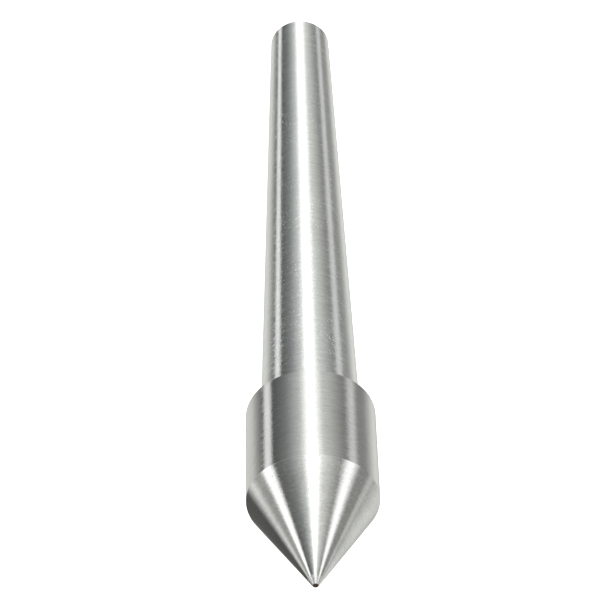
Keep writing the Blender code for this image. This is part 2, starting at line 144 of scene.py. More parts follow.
# long soft lamps hung round the work. Each: degrees round from straight up (right is positive), degrees
# fully lit each side, degrees of fade, brightness where it shines along the work (what the shank and head
# mirror), brightness where it shines across it (what the point mirrors), and tone
lightSet = {
    "tilt": 11.3,
    "strength": 2.4,
    "lamps": {
        "overhead": (0, 1, 19, 0.415, 0.51, "plain"),
        "skyLeft": (-18, 1, 54, 0.11, 0.11, "cool"),
        "skyRight": (9, 8, 44, 0.27, 0.315, "warm"),
        "leftStrip": (-73, 3, 9, 0.42, 0.0, "plain"),
        "leftNear": (-74, 3.5, 9.5, 0.0, 0.67, "plain"),
        "leftWall": (-95, 11, 11, 0.0, 0.15, "warm"),
        "rightStrip": (65, 1, 13, 0.205, 0.0, "plain"),
        "rightNear": (62, 1, 15.5, 0.0, 0.58, "plain"),
        "leftSide": (-136, 9, 54, 0.30, 0.0, "warm"),
        "lowLeft": (-110, 1, 14.5, 0.0, 0.23, "plain"),
        "lowRight": (99, 1.5, 6, 0.0, 0.11, "plain"),
        "rightSide": (137.5, 2.5, 47, 0.285, 0.27, "warm"),
        "rightWall": (90, 12, 54, 0.105, 0.095, "warm"),
        "under": (178, 5, 21.5, 0.02, 0.062, "brown"),
    },
    "room": (0.037, 0.052),         # what is left between the lamps, along and across
    "tones": {"warm": (1.005, 1.02, 0.972), "cool": (0.945, 1.02, 1.035), "plain": (1.0, 1.0, 1.0),
              "brown": (1.06, 1.02, 0.90)},
    "split": (0.60, 0.69),          # lean along the work over which across turns into along
    "dark": (0.0, -0.737, -0.676),  # an unlit patch low on the camera's side, which the tip's flat mirrors
    "darkEdge": (0.90, 0.96),
    "darkTone": (0.040, 0.030, 0.022),
    "background": (1.0, 1.0, 1.0),
}


def makeLight(values):
    world = bpy.data.worlds.new("studioLight")
    world.use_nodes = True
    scene.world = world
    tree = world.node_tree
    tree.nodes.clear()
    where = tree.nodes.new("ShaderNodeTexCoord").outputs["Generated"]

    def share(direction):
        node = tree.nodes.new("ShaderNodeVectorMath")
        node.operation = "DOT_PRODUCT"
        tree.links.new(where, node.inputs[0])
        node.inputs[1].default_value = direction
        return node.outputs["Value"]

    tilt = math.radians(values["tilt"])
    around = calc(tree, "ARCTAN2", share((1, 0, 0)), share((0, math.sin(tilt), math.cos(tilt))))
    around = calc(tree, "DEGREES", around)
    turned = spread(tree, calc(tree, "ABSOLUTE", share((0, 1, 0))), 1.0, 0.0, *values["split"], soft=True)
    room = spread(tree, turned, *values["room"])
    total = mixColour(tree, room, (0.0, 0.0, 0.0), values["tones"]["warm"])
    for place, half, fade, along, across, tone in values["lamps"].values():
        off = calc(tree, "ABSOLUTE", calc(tree, "SUBTRACT", around, place))
        off = calc(tree, "MINIMUM", off, calc(tree, "SUBTRACT", 360.0, off))
        lit = spread(tree, off, 1.0, 0.0, half, half + fade, soft=True)
        lit = calc(tree, "MULTIPLY", lit, spread(tree, turned, along, across))
        total = mixColour(tree, lit, total, values["tones"][tone], "ADD")
    dark = share(Vector(values["dark"]).normalized())
    dark = spread(tree, dark, 0.0, 1.0, *values["darkEdge"], soft=True)
    total = mixColour(tree, dark, total, values["darkTone"])
    glow = tree.nodes.new("ShaderNodeBackground")
    tree.links.new(total, glow.inputs["Color"])
    glow.inputs["Strength"].default_value = values["strength"]
    plain = tree.nodes.new("ShaderNodeBackground")
    plain.inputs["Color"].default_value = (*values["background"], 1)
    choose = tree.nodes.new("ShaderNodeMixShader")
    tree.links.new(tree.nodes.new("ShaderNodeLightPath").outputs["Is Camera Ray"], choose.inputs[0])
    tree.links.new(glow.outputs[0], choose.inputs[1])
    tree.links.new(plain.outputs[0], choose.inputs[2])
    output = tree.nodes.new("ShaderNodeOutputWorld")
    tree.links.new(choose.outputs[0], output.inputs["Surface"])


makeCamera(cameraSet)
makeFloor(floorSet)
makeLight(lightSet)
print("camera, floor and light made")


def startMaterial(name):
    material = bpy.data.materials.new(name)
    material.use_nodes = True
    return material, material.node_tree, material.node_tree.nodes["Principled BSDF"]


def latheSpace(tree, around, along):
    # space stretched for marks that run round the turning axis: cells per mm round it and along it
    where = tree.nodes.new("ShaderNodeTexCoord").outputs["Object"]
    parts = tree.nodes.new("ShaderNodeSeparateXYZ")
    tree.links.new(where, parts.inputs[0])
    x, y, z = parts.outputs
    radius = calc(tree, "SQRT", calc(tree, "ADD", calc(tree, "MULTIPLY", x, x), calc(tree, "MULTIPLY", z, z)))
    joined = tree.nodes.new("ShaderNodeCombineXYZ")
    tree.links.new(calc(tree, "MULTIPLY", x, around / mm), joined.inputs[0])
    tree.links.new(calc(tree, "MULTIPLY", calc(tree, "ADD", y, radius), along / mm), joined.inputs[1])
    tree.links.new(calc(tree, "MULTIPLY", z, around / mm), joined.inputs[2])
    return joined.outputs[0]


def grain(tree, space, detail=2.0, roughness=0.5, scale=1.0):
    node = tree.nodes.new("ShaderNodeTexNoise")
    tree.links.new(space, node.inputs["Vector"])
    node.inputs["Scale"].default_value = scale
    node.inputs["Detail"].default_value = detail
    node.inputs["Roughness"].default_value = roughness
    return node.outputs["Fac"]


def bump(tree, height, depth, before=None):
    node = tree.nodes.new("ShaderNodeBump")
    node.inputs["Strength"].default_value = 1.0
    node.inputs["Distance"].default_value = depth * mm
    tree.links.new(height, node.inputs["Height"])
    if before is not None:
        tree.links.new(before, node.inputs["Normal"])
    return node.outputs["Normal"]


def edgeWear(tree):
    node = tree.nodes.new("ShaderNodeAttribute")
    node.attribute_name = "edgeWear"
    return node.outputs["Fac"]


# what all turned metals share. Cells per mm are (round the axis, along the axis)
metalSet = {
    "cloudCells": (0.25, 0.18),
    "patchCells": (0.35, 0.16),     # patches in which the dots gather
    "patchShift": (-0.12, 0.06),    # what a bare and a marked patch add to the dots' noise
    "dotEdge": 0.04,
    "leastWear": 0.4,               # share of an edge's wear left where the scuffs are weak
    "blurTurn": 0.25,               # quarter turn: reflections blur along the work
}
nearlyAll = (0.32, 0.68)            # between these lie nearly all of a noise's values
middleMost = (0.35, 0.65)           # a little narrower, for more contrast


def turnedMetal(name, values):
    # rings: fine tool or wheel marks; scuffs: short marks along them; ripple: a faint unevenness that
    # breaks up long highlights; dots: tiny marks from handling, and on the shank, where they are lighter
    # than the steel, painted glints; cloud: slow change of tone
    material, tree, shader = startMaterial(name)
    rings = grain(tree, latheSpace(tree, *values["rings"]), detail=4.0, roughness=0.65)
    scuffs = grain(tree, latheSpace(tree, *values["scuffs"]), detail=3.0, roughness=0.6)
    ripple = grain(tree, latheSpace(tree, *values["ripple"]), detail=2.0)
    cloud = grain(tree, latheSpace(tree, *metalSet["cloudCells"]), detail=4.0, roughness=0.6)
    dots = grain(tree, latheSpace(tree, *values["dots"]), detail=1.0)
    patches = grain(tree, latheSpace(tree, *metalSet["patchCells"]))
    patches = spread(tree, patches, *metalSet["patchShift"], *middleMost)
    dots = calc(tree, "SUBTRACT", calc(tree, "ADD", dots, patches), values["dotsFrom"])
    dots = spread(tree, dots, 0.0, 1.0, 0.0, metalSet["dotEdge"])
    darker = tuple(c * (1 - values["cloudTone"]) for c in values["colour"])
    lighter = tuple(min(1.0, c * (1 + values["cloudTone"])) for c in values["colour"])
    colour = mixColour(tree, spread(tree, cloud, 0.0, 1.0, *nearlyAll), darker, lighter)
    marks = spread(tree, rings, 1 - values["ringTone"], 1 + values["ringTone"], *nearlyAll)
    shade = spread(tree, scuffs, 1 - values["scuffTone"], 1 + values["scuffTone"], *nearlyAll)
    marks = calc(tree, "MULTIPLY", marks, shade)
    toned = tree.nodes.new("ShaderNodeVectorMath")
    toned.operation = "SCALE"
    tree.links.new(colour, toned.inputs[0])
    tree.links.new(marks, toned.inputs["Scale"])
    # dots mix in their own colour: dark handling marks on most metals, painted glints on the shank, whose
    # dots are lighter than the steel
    seen = calc(tree, "MULTIPLY", dots, values["dotTone"])
    colour = mixColour(tree, seen, toned.outputs[0], values["dotMarkAndGlintColour"])
    # edges get a lighter colour for wear; on the point's tip band this lighter colour is also a painted
    # highlight
    scuffed = spread(tree, scuffs, metalSet["leastWear"], 1.0, *middleMost)
    worn = calc(tree, "MULTIPLY", edgeWear(tree), scuffed)
    colour = mixColour(tree, calc(tree, "MULTIPLY", worn, values["edgeTone"]), colour, values["edgeColour"])
    tree.links.new(colour, shader.inputs["Base Color"])
    shader.inputs["Metallic"].default_value = 1.0
    rough = spread(tree, scuffs, *values["roughness"], *nearlyAll)
    rough = calc(tree, "ADD", rough, calc(tree, "MULTIPLY", dots, values["dotRough"]))
    rough = calc(tree, "ADD", rough, calc(tree, "MULTIPLY", worn, values["edgeRough"]))
    tree.links.new(rough, shader.inputs["Roughness"])
    shader.inputs["Anisotropic"].default_value = values["lengthwiseBlur"]
    shader.inputs["Anisotropic Rotation"].default_value = metalSet["blurTurn"]
    tangent = tree.nodes.new("ShaderNodeTangent")
    tangent.direction_type = "RADIAL"
    tangent.axis = "Y"
    tree.links.new(tangent.outputs[0], shader.inputs["Tangent"])
    normal = bump(tree, rings, values["ringDepth"])
    normal = bump(tree, ripple, values["rippleDepth"], normal)
    normal = bump(tree, dots, -values["dotDepth"], normal)
    tree.links.new(normal, shader.inputs["Normal"])
    return material


# rings, scuffs, ripple and dots are in cells per mm (round the axis, along the axis); depths are in mm
groundShankFinish = {
    "colour": (0.705, 0.71, 0.705), "cloudTone": 0.03, "roughness": (0.09, 0.27), "lengthwiseBlur": 0.5,
    "rings": (0.2, 4.4), "ringTone": 0.05, "ringDepth": 0.0006,
    "scuffs": (1.2, 3.8), "scuffTone": 0.03,
    "ripple": (4.4, 4.4), "rippleDepth": 0.0070,
    # the shank's dots are lighter than the steel: painted glints, small sparkles painted into the colour
    "dots": (5.0, 5.6), "dotsFrom": 0.70, "dotTone": 0.6, "dotMarkAndGlintColour": (0.92, 0.92, 0.92), "dotRough": 0.25,
    "dotDepth": 0.004, "edgeTone": 0.5, "edgeRough": 0.25,
    "edgeColour": (0.85, 0.85, 0.85),
}

turnedHeadFinish = {
    "colour": (0.60, 0.60, 0.59), "cloudTone": 0.04, "roughness": (0.08, 0.20), "lengthwiseBlur": 0.5,
    "rings": (0.12, 6.0), "ringTone": 0.032, "ringDepth": 0.0003,
    "scuffs": (1.2, 5.0), "scuffTone": 0.035,
    "ripple": (5.0, 4.6), "rippleDepth": 0.0036,
    "dots": (2.6, 3.4), "dotsFrom": 0.745, "dotTone": 0.5, "dotMarkAndGlintColour": (0.40, 0.39, 0.37), "dotRough": 0.15,
    "dotDepth": 0.003, "edgeTone": 0.2, "edgeRough": 0.10,
    "edgeColour": (0.85, 0.85, 0.85),
}

groundPointFinish = {
    "colour": (0.62, 0.62, 0.61), "cloudTone": 0.07, "roughness": (0.10, 0.19), "lengthwiseBlur": 0.5,
    "rings": (0.4, 5.0), "ringTone": 0.045, "ringDepth": 0.0003,
    "scuffs": (2.6, 3.0), "scuffTone": 0.075,
    "ripple": (4.6, 4.6), "rippleDepth": 0.0032,
    "dots": (2.4, 3.2), "dotsFrom": 0.765, "dotTone": 0.6, "dotMarkAndGlintColour": (0.36, 0.35, 0.32), "dotRough": 0.15,
    # the strong edge tone and light edge colour also paint the pale band at the tip: wear and a painted
    # highlight
    "dotDepth": 0.001, "edgeTone": 0.8, "edgeRough": 0.45,
    "edgeColour": (0.88, 0.88, 0.89),
}

spindleFinish = {
    "colour": (0.56, 0.56, 0.57), "cloudTone": 0.03, "roughness": (0.14, 0.24), "lengthwiseBlur": 0.5,
    "rings": (0.2, 5.0), "ringTone": 0.05, "ringDepth": 0.0006,
    "scuffs": (0.9, 3.5), "scuffTone": 0.04,
    "ripple": (2.6, 2.6), "rippleDepth": 0.003,
    "dots": (3.0, 4.0), "dotsFrom": 0.76, "dotTone": 0.4, "dotMarkAndGlintColour": (0.32, 0.30, 0.27), "dotRough": 0.15,
    "dotDepth": 0.002, "edgeTone": 0.4, "edgeRough": 0.10,
    "edgeColour": (0.80, 0.80, 0.80),
}

bearingRingFinish = {
    "colour": (0.67, 0.67, 0.68), "cloudTone": 0.02, "roughness": (0.10, 0.17), "lengthwiseBlur": 0.4,
    "rings": (0.1, 7.0), "ringTone": 0.04, "ringDepth": 0.0003,
    "scuffs": (1.0, 5.0), "scuffTone": 0.03,
    "ripple": (3.0, 3.0), "rippleDepth": 0.0012,
    "dots": (4.0, 5.0), "dotsFrom": 0.77, "dotTone": 0.4, "dotMarkAndGlintColour": (0.40, 0.37, 0.32), "dotRough": 0.1,
    "dotDepth": 0.001, "edgeTone": 0.4, "edgeRough": 0.10,
    "edgeColour": (0.85, 0.85, 0.85),
}

shieldFinish = {
    "colour": (0.61, 0.62, 0.63), "cloudTone": 0.04, "roughness": (0.24, 0.36), "lengthwiseBlur": 0.2,
    "rings": (0.6, 4.0), "ringTone": 0.05, "ringDepth": 0.0008,
    "scuffs": (2.0, 3.0), "scuffTone": 0.06,
    "ripple": (2.0, 2.0), "rippleDepth": 0.006,
    "dots": (4.0, 5.0), "dotsFrom": 0.74, "dotTone": 0.5, "dotMarkAndGlintColour": (0.35, 0.35, 0.34), "dotRough": 0.2,
    "dotDepth": 0.002, "edgeTone": 0.4, "edgeRough": 0.10,
    "edgeColour": (0.80, 0.80, 0.80),
}

cageFinish = {
    "colour": (0.76, 0.56, 0.28), "cloudTone": 0.10, "roughness": (0.26, 0.40), "lengthwiseBlur": 0.3,
    "rings": (0.3, 5.0), "ringTone": 0.07, "ringDepth": 0.0012,
    "scuffs": (1.4, 3.5), "scuffTone": 0.07,
    "ripple": (2.4, 2.4), "rippleDepth": 0.005,
    "dots": (3.0, 4.0), "dotsFrom": 0.70, "dotTone": 0.7, "dotMarkAndGlintColour": (0.34, 0.20, 0.09), "dotRough": 0.2,
    "dotDepth": 0.002, "edgeTone": 0.6, "edgeRough": 0.10,
    "edgeColour": (0.93, 0.76, 0.45),
}

ballFinish = {
    "colour": (0.76, 0.76, 0.77), "cloudTone": 0.015, "roughness": (0.04, 0.09), "lengthwiseBlur": 0.0,
    "rings": (3.0, 9.0), "ringTone": 0.015, "ringDepth": 0.0001,
    "scuffs": (2.0, 12.0), "scuffTone": 0.015,
    "ripple": (4.0, 4.0), "rippleDepth": 0.0004,
    "dots": (6.0, 7.0), "dotsFrom": 0.78, "dotTone": 0.3, "dotMarkAndGlintColour": (0.45, 0.43, 0.40), "dotRough": 0.1,
    "dotDepth": 0.0005, "edgeTone": 0.0, "edgeRough": 0.10,
    "edgeColour": (0.80, 0.80, 0.80),
}

clipSteelFinish = {
    "colour": (0.072, 0.070, 0.072), "sheen": (0.16, 0.155, 0.17), "worn": (0.46, 0.45, 0.44),
    "grainCells": 3.0, "grainDepth": 0.006, "roughness": (0.34, 0.52), "metallic": 0.85,
    "patchCells": 0.5, "patchRange": (0.40, 0.65), "wornRange": (0.40, 0.58), "roughRange": (0.3, 0.7),
}

feltFinish = {
    "dark": (0.19, 0.183, 0.170), "light": (0.40, 0.385, 0.355), "oil": (0.10, 0.085, 0.06),
    "fibre": (7.0, 2.5), "fibreDepth": 0.06, "fibreRange": (0.42, 0.72),
    "mat": (1.6, 1.6), "matDepth": 0.10, "matRange": (0.4, 0.7),
    "oilShare": 0.55, "oilRange": (0.52, 0.70), "roughness": (0.95, 0.72),
    "sheen": 0.35, "sheenRoughness": 0.5,
}


def blackSpringSteel(name, values):
    material, tree, shader = startMaterial(name)
    where = tree.nodes.new("ShaderNodeTexCoord").outputs["Object"]
    fine = grain(tree, where, detail=4.0, roughness=0.7, scale=values["grainCells"] / mm)
    patch = grain(tree, where, detail=3.0, scale=values["patchCells"] / mm)
    patch = spread(tree, patch, 0.0, 1.0, *values["patchRange"])
    colour = mixColour(tree, patch, values["colour"], values["sheen"])
    worn = calc(tree, "MULTIPLY", edgeWear(tree), spread(tree, fine, 0.0, 1.0, *values["wornRange"]))
    tree.links.new(mixColour(tree, worn, colour, values["worn"]), shader.inputs["Base Color"])
    shader.inputs["Metallic"].default_value = values["metallic"]
    rough = spread(tree, fine, *values["roughness"], *values["roughRange"])
    tree.links.new(rough, shader.inputs["Roughness"])
    tree.links.new(bump(tree, fine, values["grainDepth"]), shader.inputs["Normal"])
    return material


def greyFelt(name, values):
    material, tree, shader = startMaterial(name)
    fibre = grain(tree, latheSpace(tree, *values["fibre"]), detail=5.0, roughness=0.7)
    crossing = grain(tree, latheSpace(tree, *reversed(values["fibre"])), detail=5.0, roughness=0.7)
    mat = grain(tree, latheSpace(tree, *values["mat"]), detail=3.0)
    tuft = calc(tree, "MAXIMUM", fibre, crossing)
    lit = spread(tree, tuft, 0.0, 1.0, *values["fibreRange"])
    colour = mixColour(tree, lit, values["dark"], values["light"])
    oiled = spread(tree, mat, 0.0, values["oilShare"], *values["oilRange"])
    tree.links.new(mixColour(tree, oiled, colour, values["oil"]), shader.inputs["Base Color"])
    rough = spread(tree, mat, *values["roughness"], *values["matRange"])
    tree.links.new(rough, shader.inputs["Roughness"])
    shader.inputs["Sheen Weight"].default_value = values["sheen"]
    shader.inputs["Sheen Roughness"].default_value = values["sheenRoughness"]
    normal = bump(tree, mat, values["matDepth"])
    tree.links.new(bump(tree, tuft, values["fibreDepth"], normal), shader.inputs["Normal"])
    return material


finishes = {
    "shank": turnedMetal("groundShankSteel", groundShankFinish),
    "head": turnedMetal("turnedHeadSteel", turnedHeadFinish),
    "point": turnedMetal("groundPointSteel", groundPointFinish),
    "spindle": turnedMetal("spindleSteel", spindleFinish),
    "ring": turnedMetal("bearingRingSteel", bearingRingFinish),
    "shield": turnedMetal("shieldSteel", shieldFinish),
    "cage": turnedMetal("cageBrass", cageFinish),
    "ball": turnedMetal("polishedBallSteel", ballFinish),
    "clip": blackSpringSteel("blackSpringSteel", clipSteelFinish),
    "felt": greyFelt("oiledGreyFelt", feltFinish),
}
print("metals and felt made")


# mm, how far the edges of machined pieces are rounded
crispEdge, fineEdge, plainEdge, easedEdge, softEdge = 0.02, 0.03, 0.04, 0.05, 0.06

mostOfSide = 0.45       # the most that a rounding takes of the line beside it
supportShare = 0.3      # the most that the tight line beside it takes of the rest
wornAngle = 0.5         # radians, the edges of drilled pieces that turn more than this look worn
sharpAngle = 32         # degrees, an edge that turns more isn't shaded smooth


def roundCorners(corners, closed=False, steps=5, support=0.06):
    # corners: (radius, y, rounding) in mm. Gives (radius, y, edge wear), with a tight line beside each
    # rounding so that flat faces shade flat
    points = []
    count = len(corners)
    for i, (r, y, rounding) in enumerate(corners):
        here = Vector((r, y))
        if rounding <= 0 or (not closed and i in (0, count - 1)):
            points.append((r, y, 0.0))
            continue
        back = Vector(corners[i - 1][:2]) - here
        ahead = Vector(corners[(i + 1) % count][:2]) - here
        toBack, toAhead = back.normalized(), ahead.normalized()
        half = math.acos(max(-1.0, min(1.0, toBack.dot(toAhead)))) / 2
        cut = min(rounding / math.tan(half), back.length * mostOfSide, ahead.length * mostOfSide)
        centre = here + (toBack + toAhead).normalized() * cut / math.cos(half)
        start = here + toBack * cut - centre
        sweep = start.angle_signed(here + toAhead * cut - centre)
        beside = here + toBack * (cut + min(support, (back.length - cut) * supportShare))
        points.append((beside.x, beside.y, 0.0))
        for k in range(steps + 1):
            turned = start.copy()
            turned.rotate(Matrix.Rotation(-sweep * k / steps, 2))
            points.append((centre.x + turned.x, centre.y + turned.y, 1.0))
        beside = here + toAhead * (cut + min(support, (ahead.length - cut) * supportShare))
        points.append((beside.x, beside.y, 0.0))
    return points


def finishMesh(work, name, markEdges=False):
    bmesh.ops.recalc_face_normals(work, faces=work.faces)
    if markEdges:
        layer = work.verts.layers.float.get("edgeWear") or work.verts.layers.float.new("edgeWear")
        for edge in work.edges:
            if edge.is_manifold and edge.calc_face_angle(0) > wornAngle:
                for vert in edge.verts:
                    vert[layer] = 1.0
    for face in work.faces:
        face.smooth = True
    mesh = bpy.data.meshes.new(name)
    work.to_mesh(mesh)
    work.free()
    mesh.set_sharp_from_angle(angle=math.radians(sharpAngle))
    piece = bpy.data.objects.new(name, mesh)
    scene.collection.objects.link(piece)
    return piece


def turnPiece(name, points, around=96, closed=False):
    work = bmesh.new()
    wear = work.verts.layers.float.new("edgeWear")
    rows = []
    for r, y, amount in points:
        angles = [0.0] if r < 1e-6 else [math.tau * k / around for k in range(around)]
        row = [work.verts.new((r * math.cos(a) * mm, y * mm, r * math.sin(a) * mm)) for a in angles]
        for vert in row:
            vert[wear] = amount
        rows.append(row)
    for first, second in zip(rows, rows[1:] + rows[:1] if closed else rows[1:]):
        for k in range(around):
            n = (k + 1) % around
            if len(first) == 1:
                work.faces.new((first[0], second[n], second[k]))
            elif len(second) == 1:
                work.faces.new((first[k], first[n], second[0]))
            else:
                work.faces.new((first[k], first[n], second[n], second[k]))
    return finishMesh(work, name)


def cutHoles(piece, radius, length, places, around=48):
    # straight holes through a piece; the Z axis of each place runs along its hole
    work = bmesh.new()
    for place in places:
        bmesh.ops.create_cone(work, cap_ends=True, segments=around, radius1=radius * mm, radius2=radius * mm,
                              depth=length * mm, matrix=place)
    mesh = bpy.data.meshes.new("drill")
    work.to_mesh(mesh)
    work.free()
    drill = bpy.data.objects.new("drill", mesh)
    scene.collection.objects.link(drill)
    cut = piece.modifiers.new("holes", "BOOLEAN")
    cut.object = drill
    cut.solver = "EXACT"
    bpy.context.view_layer.update()
    seen = piece.evaluated_get(bpy.context.evaluated_depsgraph_get())
    work = bmesh.new()
    work.from_mesh(seen.to_mesh())
    seen.to_mesh_clear()
    name = piece.name
    bpy.data.objects.remove(drill)
    bpy.data.objects.remove(piece)
    return finishMesh(work, name, markEdges=True)


def fitPiece(piece, body, slotName, material, *nodes):
    piece.data.materials.clear()
    piece.data.materials.append(material)
    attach(piece, body)
    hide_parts(*nodes)


def ends(node):
    # rear and front of a CAD piece along the axis, in mm
    low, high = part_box(node)
    return high[1] / mm, low[1] / mm


def radii(node):
    # smallest and largest distance of a CAD piece from the axis, in mm
    found = [math.hypot(v.co.x, v.co.z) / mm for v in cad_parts[node].data.vertices]
    return min(found), max(found)


# mm and degrees, the taper as change of diameter per length. Bores are radii, their ends are places
# along the axis
taperShankSet = {
    "gaugeRadius": 4.5225, "taper": 1 / 19.212, "frontBreak": 0.12, "backRound": 0.16,
    "bore": 2.55, "boreMouth": 0.2, "boreEnd": 13.1, "borePoint": 14.57,
    "holeMouth": 1.05, "holePilot": 0.5, "holeDepth": 2.6, "mouthAngle": 60, "drillAngle": 120,
}


def makeTaperShank(values):
    back, front = ends("taper_shank")
    gauge, pilot, bore = values["gaugeRadius"], values["holePilot"], values["bore"]
    small = gauge - back * values["taper"] / 2
    large = gauge - front * values["taper"] / 2
    pilotStart = back - (values["holeMouth"] - pilot) / math.tan(math.radians(values["mouthAngle"] / 2))
    pilotEnd = back - values["holeDepth"]
    corners = [
        (0.0, pilotEnd - pilot / math.tan(math.radians(values["drillAngle"] / 2)), 0),
        (pilot, pilotEnd, crispEdge),
        (pilot, pilotStart, easedEdge),
        (values["holeMouth"], back, softEdge),
        (small, back, values["backRound"]),
        (gauge, 0.0, 0),
        (large, front, values["frontBreak"]),
        (bore + values["boreMouth"], front, fineEdge),
        (bore, front + values["boreMouth"], fineEdge),
        (bore, values["boreEnd"], easedEdge),
        (0.0, values["borePoint"], 0),
    ]
    piece = turnPiece("taperShank", roundCorners(corners), around=192)
    fitPiece(piece, "shank", "ground_shank_steel", finishes["shank"], "taper_shank")


pointHeadSet = {
    "tipRadius": 0.28, "shoulder": -13.85, "rearBreak": 0.07, "shoulderRound": 0.03,
    "shoulderWear": 0.3, "shoulderReach": 0.1,      # share of full wear, and mm each side that have it
    "tipBand": 0.65, "bandFade": 0.1,               # mm of point behind the flat that is painted lighter, as wear and as a painted highlight, and of its fade
    "tipBreak": (0.01, 0.02), "tipWearAndHighlight": (0.8, 0.9, 0.2),   # wear and painted highlight of the band and the rim, and wear of the flat
    "groundFrom": 0.005, "groundLean": 0.2,         # faces past the shoulder that lean forward are ground
    "bore": 4.55, "boreMouth": 0.2, "boreEnd": -14.05, "groove": (4.80, -4.175, -5.025),
    "frontBore": 3.05, "frontBoreEnd": -16.7, "pocket": 2.0, "pocketEnd": -17.65, "pocketPoint": -18.805,
}


def makePointHead(values):
    rear, tip = ends("point_head")
    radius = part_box("point_head")[1][0] / mm
    bore, shoulder, tipRadius = values["bore"], values["shoulder"], values["tipRadius"]
    grooveRadius, grooveRear, grooveFront = values["groove"]
    corners = [
        (0.0, values["pocketPoint"], 0),
        (values["pocket"], values["pocketEnd"], easedEdge),
        (values["pocket"], values["frontBoreEnd"], plainEdge),
        (values["frontBore"], values["frontBoreEnd"], plainEdge),
        (values["frontBore"], values["boreEnd"], plainEdge),
        (bore, values["boreEnd"], softEdge),
        (bore, grooveFront, crispEdge),
        (grooveRadius, grooveFront, fineEdge),
        (grooveRadius, grooveRear, fineEdge),
        (bore, grooveRear, crispEdge),
        (bore, rear - values["boreMouth"], plainEdge),
        (bore + values["boreMouth"], rear, plainEdge),
        (radius, rear, values["rearBreak"]),
        (radius, shoulder, values["shoulderRound"]),
    ]
    points = roundCorners(corners + [(tipRadius, tip, 0)])[:-1]
    points = [(r, y, worn * values["shoulderWear"] if abs(y - shoulder) < values["shoulderReach"] else worn)
              for r, y, worn in points]
    slope = (radius - tipRadius) / (shoulder - tip)
    band = tip + values["tipBand"]
    faded = band + values["bandFade"]
    out, back = values["tipBreak"]
    bandWearAndHighlight, rimWearAndHighlight, flatWear = values["tipWearAndHighlight"]
    # the band and the rim get a lighter, rougher edge colour: partly wear, partly a painted highlight of the
    # pale band
    points += [(tipRadius + slope * (faded - tip), faded, 0.0),
               (tipRadius + slope * (band - tip), band, bandWearAndHighlight),
               (tipRadius + out, tip + back, rimWearAndHighlight),
               (tipRadius - out, tip, flatWear), (0.0, tip, 0.0)]
    piece = turnPiece("pointHead", points, around=192)
    fitPiece(piece, "head", "hardened_point_steel", finishes["head"], "point_head")
    piece.data.materials.append(finishes["point"])     # the 60 degree point is ground, the rest is turned
    for face in piece.data.polygons:
        if face.center.y < (shoulder - values["groundFrom"]) * mm and face.normal.y < -values["groundLean"]:
            face.material_index = 1


makeTaperShank(taperShankSet)
makePointHead(pointHeadSet)
print("shank and point made")

# mm. Collar and groove: radius, rear, front. Journal: radius, front
spindleSet = {
    "tail": 2.5, "collar": (3.0, -3.05, -5.0), "journal": (1.95, -14.05),
    "clipGroove": (1.82, -9.075, -9.525), "nose": 1.45, "chamfer": 0.3, "journalBreak": 0.12,
    "tailFillet": 0.08, "collarBreak": 0.10,
}


def makeSpindle(values):
    back, front = ends("spindle")
    collar, collarRear, collarFront = values["collar"]
    journal, journalFront = values["journal"]
    groove, grooveRear, grooveFront = values["clipGroove"]
    chamfer = values["chamfer"]
    corners = [
        (0.0, back, 0),
        (values["tail"] - chamfer, back, plainEdge),
        (values["tail"], back - chamfer, plainEdge),
        (values["tail"], collarRear, values["tailFillet"]),
        (collar, collarRear, values["collarBreak"]),
        (collar, collarFront, softEdge),
        (journal, collarFront, fineEdge),
        (journal, grooveRear, crispEdge),
        (groove, grooveRear, crispEdge),
        (groove, grooveFront, crispEdge),
        (journal, grooveFront, crispEdge),
        (journal, journalFront, values["journalBreak"]),
        (values["nose"], journalFront, easedEdge),
        (values["nose"], front + chamfer, plainEdge),
        (values["nose"] - chamfer, front, plainEdge),
        (0.0, front, 0),
    ]
    piece = turnPiece("spindlePin", roundCorners(corners, steps=4), around=128)
    fitPiece(piece, "shank", "spindle_steel", finishes["spindle"], "spindle")


# mm and degrees. Inner and outer are the radii of the rings' shoulders, shieldStep is the radius and the
# depth of the seat that a shield is pressed into
bearingSet = {
    "edge": 0.10, "inside": 0.04, "raceAngle": 38, "raceSteps": 10,
    "rear": {"prefix": "rear_bearing", "pitch": 3.25, "groove": 0.854, "bore": 2.0, "outside": 4.5,
             "inner": 2.577, "outer": 3.923, "shieldStep": (4.143, 0.37), "pocket": 0.874, "balls": 7,
             "name": "rearBearing", "cageBody": "rear_cage"},
    "front": {"prefix": "front_bearing", "pitch": 2.25, "groove": 0.56, "bore": 1.5, "outside": 3.0,
              "inner": 1.809, "outer": 2.691, "shieldStep": None, "pocket": 0.58, "balls": 7,
              "name": "frontBearing", "cageBody": "front_cage"},
}


def raceArc(pitch, middle, groove, halfAngle, steps, outwards):
    side = 1 if outwards else -1
    angles = [math.radians(halfAngle * (1 - 2 * k / steps)) for k in range(steps + 1)]
    return [(pitch + side * groove * math.cos(a), middle + groove * math.sin(a), 0) for a in angles]


